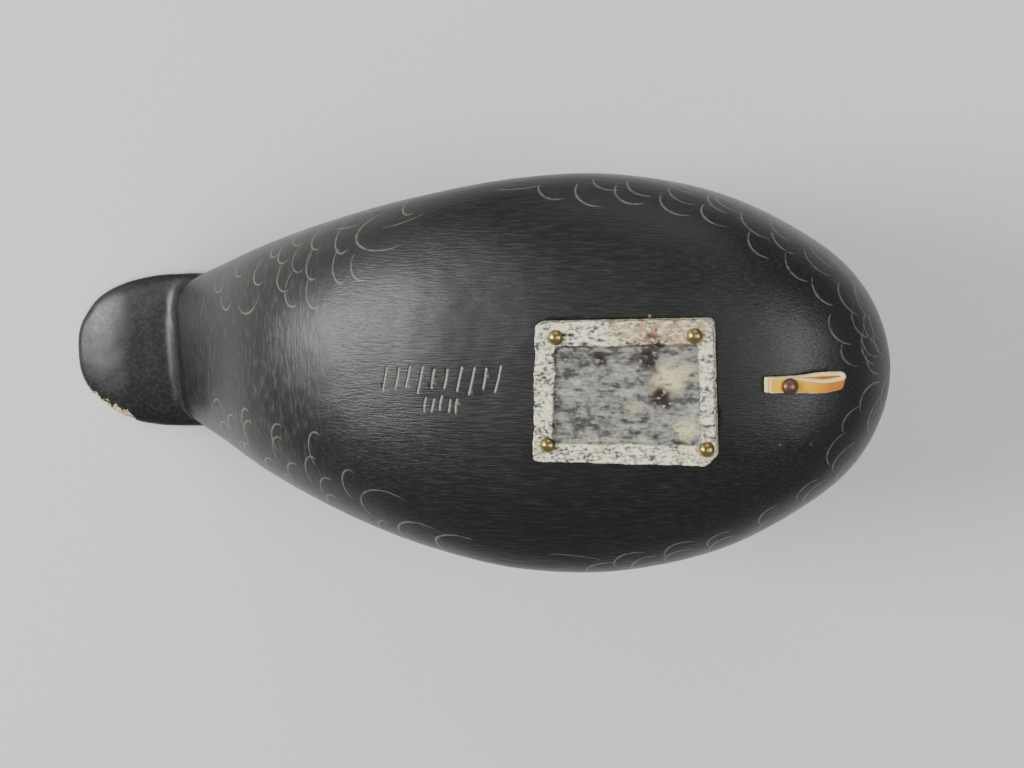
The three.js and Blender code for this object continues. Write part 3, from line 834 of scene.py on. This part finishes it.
def foldStrip(material):
    path = stripPath()
    bm = bmesh.new()
    bmesh.ops.create_grid(bm, x_segments=len(path) - 1, y_segments=12, size=0.5)
    for v in bm.verts:
        i = round((v.co.x + 0.5) * (len(path) - 1))
        v.co = (path[i, 0], path[i, 1], v.co.y * strip["width"])
    bm.normal_update()
    if max(bm.faces, key=lambda f: f.calc_center_median().x).normal.x < 0:
        bmesh.ops.reverse_faces(bm, faces=bm.faces)
    bmesh.ops.solidify(bm, geom=bm.faces[:], thickness=strip["thick"] * 0.97)
    bmesh.ops.recalc_face_normals(bm, faces=bm.faces)
    sharp = [e for e in bm.edges if e.calc_face_angle(0) > math.radians(60)]
    bmesh.ops.bevel(bm, geom=sharp, offset=strip["fillet"], segments=2, affect="EDGES", profile=0.5, material=-1)
    mesh = meshOf(bm)
    points, normals = pointsOf(mesh), pointsOf(mesh, "normal")
    x, layer, side = points.T
    endOfUpper = smoothstep(-strip["upperTail"] + 0.2, -strip["upperTail"], x) * (layer > 0)
    endOfLower = smoothstep(-strip["tail"] + 0.55, -strip["tail"] + 0.25, x) * (layer < 0)
    alongSides = smoothstep(0.84, 0.93, np.abs(side) * 2 / strip["width"] + 0.06 * bumps(points, 0.8, 17))
    setAttribute(mesh, "cutEdge", np.maximum(alongSides, endOfUpper + endOfLower))
    setAttribute(mesh, "worn", smoothstep(1, 7, x + bumps(points, 1.5, 18)))
    points = points + normals * (strip["fray"] * (bumps(points, 1.1, 14) + 0.6 * bumps(points, 0.45, 15)))[:, None]
    x, layer, side = points.T
    share = smoothstep(strip["twistFrom"], strip["twistTo"], x)
    turn = share * math.radians(strip["twist"])
    height = stance["glueLine"] + strip["thick"] + share * strip["lift"]
    aside = strip["aside"] + strip["bend"] * (x / strip["reach"]) ** 2
    points = np.column_stack([x, aside + layer * np.sin(turn) + side * np.cos(turn),
                              side * np.sin(turn) - layer * np.cos(turn) - height])
    movePoints(mesh, points)
    mesh.transform(onBreast())
    placePiece("hide_loop", mesh, material, ["line_loop"])


def driveTack(material):
    mesh = spunNail(tack)
    mesh.transform(onBreast() @ Matrix.Translation((0, 0, -2 * strip["thick"] - 2 * stance["glueLine"])))
    placePiece("domed_tack", mesh, material, ["loop_tack"])


# Materials. Every pattern is noise in the duck's own millimetres: the size of its blotches, detail, roughness.
# Marks are attributes that a piece's own mesh holds
def startMaterial(name, recipe):
    material = bpy.data.materials.new(name)
    material.use_nodes = True
    add = partial(addNode, material.node_tree)
    place, turn, size = toPart.inverted().decompose()
    seen = add("TexCoord", out="Object")
    places = add("Mapping", {"Vector": seen, "Location": place, "Rotation": turn.to_euler(), "Scale": size})
    patterns = {mark: add("Attribute", out="Fac", attribute_name=mark) for mark in recipe.get("marks", ())}
    for i, (key, (blotch, detail, roughness)) in enumerate(recipe["patterns"].items()):
        scaled = add("VectorMath", [places, [1 / s for s in blotch], [i * 4.1] * 3], operation="MULTIPLY_ADD")
        inputs = {"Vector": scaled, "Scale": 1, "Detail": detail, "Roughness": roughness}
        patterns[key] = add("TexNoise", inputs, "Fac")
    return material, add, places, patterns


def finishMaterial(material, add, recipe, base, coats, roughness, height):  # coats: how much of which colour
    for share, tint in coats:
        tint = recipe[tint] if isinstance(tint, str) else tint
        base = add("Mix", {0: share, 6: base, 7: tint}, 2, data_type="RGBA")
    bump = add("Bump", {"Strength": 1, "Distance": recipe["bumpDepth"], "Height": height})
    shader = material.node_tree.nodes["Principled BSDF"]
    shader.inputs["Metallic"].default_value = recipe["metallic"]
    for socket, value in (("Base Color", base), ("Roughness", roughness), ("Normal", bump)):
        material.node_tree.links.new(value, shader.inputs[socket])
    return material


# Satin oil paint on hand-carved softwood: nearly black, brushed lengthwise, brushed across under the stern and
# smoother on the tail; a grey on the brush ridges is partly dust and partly painted sheen, most under the stern;
# thin grey-tan paint for the feather edges
blackPaint = {
    # the grey on the brush ridges is partly dust and partly painted sheen
    "deep": "#0b0b0a", "soft": "#131312", "dust": "#47453f", "bare": "#f3dcae", "bareDark": "#80603c",
    "scratch": "#a39f8b", "edge": "#6d6a60", "metallic": 0, "roughness": 0.32, "bumpDepth": 0.00006,
    "patterns": {
        "tone": ((26, 15, 15), 4, 0.5), "brush": ((3.6, 0.3, 0.3), 3, 0.62),
        "across": ((0.5, 2.4, 2.4), 3, 0.62), "mottle": ((0.8, 0.7, 0.7), 3, 0.6),
        "grit": ((0.3, 0.3, 0.3), 2, 0.5), "breakup": ((1.3, 1.1, 1.1), 3, 0.6), "wood": ((0.9, 0.5, 0.5), 3, 0.5),
    },
    "marks": ("scratched", "bareWood", "chipEdge"),
    # x where the brushing turns, x where the tail's finish starts, and how far both waver
    "turnsAcross": (-12, -21), "tail": (-52, -59), "waver": 20.0,
}


def featherLine(add, layer, breakup):  # how much edging paint one layer of arcs leaves
    place = add("Attribute", out="Vector", attribute_name=f"arcPlace{layer}")
    reach = add("Attribute", out="Vector", attribute_name=f"arcReach{layer}")
    spot, reach = (add("SeparateXYZ", [value], None).outputs for value in (place, reach))
    turn = add("Math", [add("Math", [spot[1], spot[0]], operation="ARCTAN2")], operation="ABSOLUTE")
    share = add("Math", [turn, reach[1]], operation="DIVIDE")
    ring = add("VectorMath", [place], 1, operation="LENGTH")
    away = add("Math", [add("Math", [ring, reach[0]], operation="SUBTRACT")], operation="ABSOLUTE")
    half = add("MapRange", [share, 0.1, 1.0, edging["width"] * 0.62, edging["width"] * 0.26])
    line = add("MapRange", [add("Math", [away, half], operation="SUBTRACT"), 0.07, -0.07])
    end = add("MapRange", [share, 1.0, 0.8])
    for factor in (end, reach[2], breakup):
        line = add("Math", [line, factor], operation="MULTIPLY")
    return line


def satinBlackPaint():
    material, add, places, patterns = startMaterial("satin black oil paint on carved wood", blackPaint)
    waver, roughness = blackPaint["waver"], blackPaint["roughness"]
    x = add("SeparateXYZ", [places], "X")
    where = add("Math", [patterns["tone"], waver, x], operation="MULTIPLY_ADD")
    where = add("Math", [where, waver / 2], operation="SUBTRACT")
    turned = add("MapRange", [where, *blackPaint["turnsAcross"]])
    onTail = add("MapRange", [where, *blackPaint["tail"]])
    strokes = add("Mix", {0: turned, 2: patterns["brush"], 3: patterns["across"]})
    strokes = add("Mix", {0: onTail, 2: strokes, 3: patterns["mottle"]})
    # grey on the brush ridges: partly dust, partly painted sheen, most where brushed across under the stern, least
    # on the tail
    mostDustAndSheen = add("Mix", {0: onTail, 2: add("MapRange", [turned, 0.0, 1.0, 0.25, 0.7]), 3: 0.25})
    dustAndSheenShare = add("MapRange", [strokes, 0.5, 0.72, 0.0, mostDustAndSheen])
    breakup = add("MapRange", [patterns["breakup"], 0.32, 0.52, 0.3, 1.0])
    lines = add("Math", [featherLine(add, layer, breakup) for layer in (0, 1)], operation="MAXIMUM")
    grain = add("MapRange", [patterns["wood"], 0.42, 0.62])
    wood = add("Mix", {0: grain, 6: blackPaint["bare"], 7: blackPaint["bareDark"]}, 2, data_type="RGBA")
    coats = [(patterns["tone"], "soft"), (dustAndSheenShare, "dust"), (lines, "edge"), (patterns["scratched"], "scratch"),
             (patterns["bareWood"], wood)]
    gloss = add("MapRange", [strokes, 0.3, 0.7, roughness - 0.04, roughness + 0.08])
    for share in (patterns["bareWood"], patterns["chipEdge"]):
        gloss = add("Mix", {0: share, 2: gloss, 3: 0.9})
    height = add("Mix", {0: onTail, 2: strokes, 3: add("Math", [strokes, 0.12], operation="MULTIPLY")})
    height = add("Math", [patterns["grit"], 0.12, height], operation="MULTIPLY_ADD")
    return finishMaterial(material, add, blackPaint, blackPaint["deep"], coats, gloss, height)


# The same oil paint on the head, worked browner with short streaks; the bill is a dull olive
headPaint = {
    "deep": "#17120f", "streak": "#43372a", "bill": "#4b4a33", "billDark": "#24231a", "eye": "#0e0906",
    "iris": "#5a3417", "metallic": 0, "roughness": 0.36, "bumpDepth": 0.00003,
    "patterns": {
        "streaks": ((3.2, 0.35, 0.5), 3, 0.6), "grit": ((0.35, 0.35, 0.35), 2, 0.5), "horn": ((3, 2, 2), 3, 0.5),
    },
    "marks": ("bill",), "pupil": (0.8, 0.65),  # the pupil's soft edge, from the middle of the eye
}


def satinHeadPaint():
    material, add, places, patterns = startMaterial("satin brown oil paint on carved wood", headPaint)
    roughness = headPaint["roughness"]
    streaked = add("MapRange", [patterns["streaks"], 0.48, 0.62, 0.0, 0.8])
    hornDark = add("MapRange", [patterns["horn"], 0.35, 0.6])
    horn = add("Mix", {0: hornDark, 6: headPaint["bill"], 7: headPaint["billDark"]}, 2, data_type="RGBA")
    bill = add("MapRange", [patterns["bill"], 0.4, 0.6])
    folded = add("VectorMath", [places], operation="ABSOLUTE")
    flat = add("VectorMath", [folded, (1, 0, 1)], operation="MULTIPLY")
    eyeX, eyeZ = headBlock["eye"]
    away = add("VectorMath", [flat, (eyeX, 0, eyeZ)], 1, operation="DISTANCE")
    iris = add("MapRange", [away, headBlock["eyeRadius"] + 0.05, headBlock["eyeRadius"] - 0.1])
    pupil = add("MapRange", [away, *headPaint["pupil"]])
    coats = [(streaked, "streak"), (bill, horn), (iris, "iris"), (pupil, "eye")]
    gloss = add("MapRange", [patterns["streaks"], 0.3, 0.7, roughness - 0.05, roughness + 0.1])
    height = add("Math", [patterns["grit"], 0.5, patterns["streaks"]], operation="MULTIPLY_ADD")
    return finishMaterial(material, add, headPaint, headPaint["deep"], coats, gloss, height)


# Cast lead, weathered: grey metal under a chalky white oxide that is thickest on the rim, with rusty
# and purple-brown stains. The oxide's fine grain is drawn coarser than it is, so that it shows
oxidisedLead = {
    "metal": "#6b6b67", "dark": "#393939", "pale": "#c2c0b2", "chalk": "#fffad6", "under": "#86867b",
    "rust": "#b8926a", "stains": "#2c1d20", "cream": "#e6d9a6", "metallic": 0.2, "bumpDepth": 0.00009,
    "patterns": {
        "cloud": ((5, 3.4, 3.4), 4, 0.6), "blot": ((2.2, 1.3, 1.3), 4, 0.6), "speck": ((0.7, 0.45, 0.45), 3, 0.6),
        "streak": ((3.0, 0.5, 0.6), 3, 0.55), "fine": ((0.3, 0.3, 0.3), 2, 0.6),
        "patch": ((0.9, 0.7, 0.7), 3, 0.6),
    },
    "marks": ("rim", "rust", "cream", "stains"),
}


def weatheredLead():
    material, add, places, patterns = startMaterial("cast lead with white oxide", oxidisedLead)
    paler = add("MapRange", [add("SeparateXYZ", [places], "X"), 26.0, 44.0, -0.06, 0.06])
    grey = add("Math", [patterns["streak"], 0.5, patterns["blot"]], operation="MULTIPLY_ADD")
    grey = add("Math", [patterns["cloud"], 0.7, grey], operation="MULTIPLY_ADD")
    grey = add("Math", [grey, paler], operation="ADD")
    light = add("Math", [patterns["speck"], 0.7, grey], operation="MULTIPLY_ADD")
    chalk = add("Math", [patterns["speck"], 1.1, patterns["blot"]], operation="MULTIPLY_ADD")
    bright, chalky = add("MapRange", [grey, 0.92, 1.22]), add("MapRange", [chalk, 0.9, 1.16])
    bald = add("MapRange", [chalk, 0.97, 0.85])
    metal = add("Mix", {0: bright, 6: oxidisedLead["dark"], 7: oxidisedLead["metal"]}, 2, data_type="RGBA")
    crust = add("Mix", {0: chalky, 6: oxidisedLead["under"], 7: oxidisedLead["chalk"]}, 2, data_type="RGBA")
    crust = add("Mix", {0: bald, 6: crust, 7: metal}, 2, data_type="RGBA")
    coats = [(add("MapRange", [light, 1.34, 1.86]), "pale"), (patterns["rim"], crust)]
    for name, low in (("cream", 0.34), ("rust", 0.42), ("stains", 0.32)):
        blotchy = add("MapRange", [patterns["patch"], low, low + 0.14])
        coats.append((add("Math", [patterns[name], blotchy], operation="MULTIPLY"), name))
    gloss = add("MapRange", [light, 1.2, 1.6, 0.45, 0.8])
    height = add("Math", [patterns["fine"], 0.5, chalk], operation="MULTIPLY_ADD")
    return finishMaterial(material, add, oxidisedLead, metal, coats, gloss, height)


# Old brass, polished by handling on top; dull round the foot of the dome, partly patina in the crevice and partly
# painted shade
agedBrass = {
    "bright": "#a8935a", "dull": "#3f3720", "metallic": 1, "roughness": 0.2, "bumpDepth": 0.00002,
    "patterns": {"spot": ((0.5, 0.5, 0.5), 3, 0.6)}, "marks": ("rimDirt",),
}


def oldBrass():
    material, add, _, patterns = startMaterial("aged brass", agedBrass)
    roughness = agedBrass["roughness"]
    # the dull share: random wear, plus the band of patina and painted shade round the foot of the dome
    worn = add("Math", [patterns["spot"], 0.6, patterns["rimDirt"]], operation="MULTIPLY_ADD")
    coats = [(add("MapRange", [worn, 0.35, 1.0]), "dull")]
    gloss = add("MapRange", [worn, 0.3, 1.2, roughness, roughness + 0.3])
    return finishMaterial(material, add, agedBrass, agedBrass["bright"], coats, gloss, patterns["spot"])


# Vegetable-tanned hide, dried stiff: pale raw edges, yellow faces gone orange with wear. Its fibres are
# drawn coarser than they are, so that they show
tannedHide = {
    "edge": "#ffedb4", "face": "#ffc524", "worn": "#f08f1e", "fibre": "#a5662a",
    "metallic": 0, "roughness": 0.55, "bumpDepth": 0.00006,
    "patterns": {"fibre": ((1.6, 0.3, 0.3), 4, 0.65), "blotch": ((1.2, 1.2, 1.2), 3, 0.6)},
    "marks": ("worn", "cutEdge"),
}


def driedHide():
    material, add, _, patterns = startMaterial("vegetable-tanned hide", tannedHide)
    roughness = tannedHide["roughness"]
    blotched = add("MapRange", [patterns["blotch"], 0.55, 0.8, 0.0, 0.5])
    fibrous = add("MapRange", [patterns["fibre"], 0.55, 0.8, 0.0, 0.35])
    cut = add("MapRange", [patterns["cutEdge"], 0.4, 0.6])
    coats = [(patterns["worn"], "worn"), (blotched, "fibre"), (cut, "edge"), (fibrous, "fibre")]
    gloss = add("MapRange", [patterns["fibre"], 0.3, 0.7, roughness, roughness + 0.2])
    return finishMaterial(material, add, tannedHide, tannedHide["face"], coats, gloss, patterns["fibre"])


# Bronze gone brown, with a purplish oxide and a few bright rubs
brownBronze = {
    "brown": "#7d6344", "purple": "#6f5b50", "rub": "#9a7a55", "metallic": 0.9, "bumpDepth": 0.00003,
    "patterns": {"cloud": ((0.8, 0.8, 0.8), 3, 0.6)},
}


def oxidisedBronze():
    material, add, _, patterns = startMaterial("oxidised bronze", brownBronze)
    cloud = patterns["cloud"]
    rubbed = add("MapRange", [cloud, 0.64, 0.72, 0.0, 0.7])
    coats = [(add("MapRange", [cloud, 0.4, 0.6]), "purple"), (rubbed, "rub")]
    gloss = add("MapRange", [cloud, 0.3, 0.7, 0.5, 0.32])
    return finishMaterial(material, add, brownBronze, brownBronze["brown"], coats, gloss, cloud)


# Camera: a 50 mm lens on a 36 mm sensor, nearly straight above the belly
view = {"lens": 50, "sensor": 36, "turn": 1.73, "lean": 8.76, "distance": 0.2565,
        "target": (9.08, 4.28, 27.97)}  # in the duck's millimetres


def placeCamera():
    camera = linked("camera", bpy.data.cameras.new("camera"))
    camera.data.lens = view["lens"]
    camera.data.sensor_width = view["sensor"]
    turn, lean = -math.radians(view["turn"]), -math.radians(view["lean"])
    target = Matrix.Translation(toPart @ Vector(view["target"]))
    aim = target @ Matrix.Rotation(turn, 4, "Z") @ Matrix.Rotation(lean, 4, "X")
    camera.matrix_world = aim @ Matrix.Translation((0, 0, view["distance"]))
    bpy.context.scene.camera = camera


# Studio: pale paper floor that curves up behind, a low softbox off the tail, and weak ones round and over it
studio = {
    "floorSize": 3.0, "bend": 1.1, "rise": 0.9,  # half its length; where it starts to curve up, and how steeply
    "paper": "#f0f1ee", "fibre": "#e6e7e3", "roughness": 0.9,
    "patterns": {"fibre": ((1.1, 1.1, 1.1), 3, 0.5)},
    "lights": [
        {"name": "tail_softbox", "place": (-0.75, 0.08, 0.53), "size": (0.32, 0.5), "watts": 7.2},
        {"name": "tail_left_softbox", "place": (-0.73, 0.42, 0.35), "size": (0.5, 0.5), "watts": 1},
        {"name": "breast_softbox", "place": (0.48, 0, 0.8), "size": (0.4, 0.36), "watts": 2.4},
        {"name": "side_softbox", "place": (0, 0.78, 0.5), "size": (0.6, 0.6), "watts": 1.2},
        {"name": "overhead_softbox", "place": (0.08, 0, 1.24), "size": (0.6, 0.6), "watts": 1.5},
    ],
    "sky": "#c9ccd0", "skyStrength": 0.58,
}


def seamlessPaper():
    material, add, _, patterns = startMaterial("matt seamless paper", studio)
    tint = add("Mix", {0: patterns["fibre"], 6: studio["paper"], 7: studio["fibre"]}, 2, data_type="RGBA")
    shader = material.node_tree.nodes["Principled BSDF"]
    material.node_tree.links.new(tint, shader.inputs["Base Color"])
    shader.inputs["Roughness"].default_value = studio["roughness"]
    return material


def buildStudio():
    bm = bmesh.new()
    bmesh.ops.create_grid(bm, x_segments=2, y_segments=60, size=studio["floorSize"])
    for v in bm.verts:
        v.co.z = studio["rise"] * max(0.0, v.co.y - studio["bend"]) ** 2
    floor = linked("paper_floor", meshOf(bm))
    floor.data.shade_smooth()
    floor.data.materials.append(seamlessPaper())
    for lamp in studio["lights"]:
        data = bpy.data.lights.new(lamp["name"], "AREA")
        data.shape = "RECTANGLE"
        data.size, data.size_y = lamp["size"]
        data.energy = lamp["watts"]
        light = linked(lamp["name"], data)
        light.location = lamp["place"]
        light.rotation_euler = (-Vector(lamp["place"])).to_track_quat("-Z", "Y").to_euler()
    world = bpy.data.worlds.new("studio")
    world.use_nodes = True
    sky = world.node_tree.nodes["Background"].inputs
    sky["Color"].default_value = colour(studio["sky"])
    sky["Strength"].default_value = studio["skyStrength"]
    bpy.context.scene.world = world


placeCamera()
buildStudio()
print("camera and studio placed")

body = carveBody(satinBlackPaint())
print("body carved and painted:", len(body.data.polygons), "faces")
head = carveHead(satinHeadPaint())
print("head carved:", len(head.data.polygons), "faces")
weight = castPlate(weatheredLead())
print("ballast cast:", len(weight.data.polygons), "faces")
drivePins(oldBrass())
foldStrip(driedHide())
driveTack(oxidisedBronze())
print("pins, loop and tack fastened")
